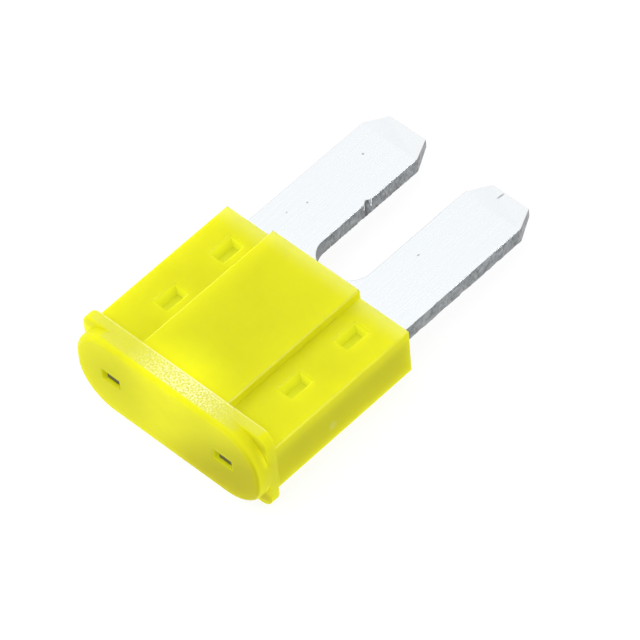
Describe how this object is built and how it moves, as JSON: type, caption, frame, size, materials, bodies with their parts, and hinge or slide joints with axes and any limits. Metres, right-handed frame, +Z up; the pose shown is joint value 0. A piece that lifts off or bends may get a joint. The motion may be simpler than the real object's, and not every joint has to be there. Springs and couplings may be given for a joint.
{
  "type": "plug-in blade fuse",
  "caption": "Small plug-in blade fuse: a translucent yellow moulded housing staked onto a stamped, plated element whose flat blades push into a fuse holder.",
  "frame": {"origin": "on the surface that the fuse lies on, under the middle of its bounding box", "axes": "+Y from the head to the blade tips, X across the two blades, +Z up through the broad side"},
  "size_m": [0.009, 0.0154, 0.0038],
  "materials": {
    "yellow_plastic": "translucent moulded, satin on the head's broad sides",
    "plated_strip": "bright tin plating with fine rolling lines, sheared edges"
  },
  "bodies": {
    "root": {"housing": "yellow_plastic", "fuse_element": "plated_strip"}
  },
  "joints": []
}
